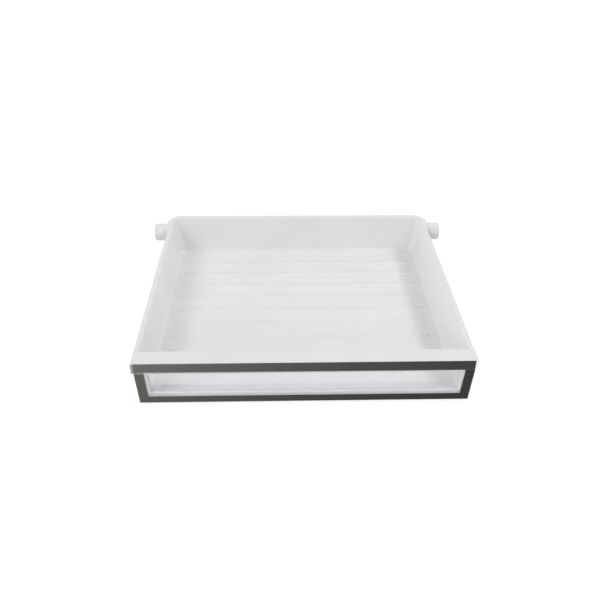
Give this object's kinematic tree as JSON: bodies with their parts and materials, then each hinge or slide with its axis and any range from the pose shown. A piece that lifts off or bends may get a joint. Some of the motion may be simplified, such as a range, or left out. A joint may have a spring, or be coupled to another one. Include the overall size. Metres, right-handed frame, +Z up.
{
  "type": "freezer bin",
  "caption": "Slim white pull-out freezer bin with a clear front window in dark metal-look trims, a white top rail and a roller at each rear corner.",
  "frame": {"origin": "centre of the bounding box on the plane of the flat underside", "axes": "+X to the right seen from the front, +Y from the window front to the rear rim, +Z up"},
  "size_m": [0.4452, 0.374, 0.0578],
  "materials": {
    "tray_plastic": "fine satin, white",
    "rail_plastic": "fine satin, warm white",
    "clear_pane": "clear, polished",
    "trim_metallic": "satin graphite metallic coating",
    "strip_metallic": "satin graphite metallic coating",
    "roller_plastic": "smooth, off-white",
    "pin_steel": "turned"
  },
  "bodies": {
    "bin": {"tray": "tray_plastic", "window": "clear_pane", "lower_trim": "trim_metallic", "top_cover": "rail_plastic", "top_trim": "strip_metallic", "pin_left": "pin_steel", "pin_right": "pin_steel"},
    "left_wheel": {"roller_left": "roller_plastic"},
    "right_wheel": {"roller_right": "roller_plastic"}
  },
  "joints": [
    {"name": "left_roller_spin", "type": "hinge", "parent": "bin", "child": "left_wheel", "pos_m": [-0.21285, 0.16, 0.0428], "axis": [1, 0, 0], "continuous": true},
    {"name": "right_roller_spin", "type": "hinge", "parent": "bin", "child": "right_wheel", "pos_m": [0.21285, 0.16, 0.0428], "axis": [1, 0, 0], "continuous": true}
  ]
}
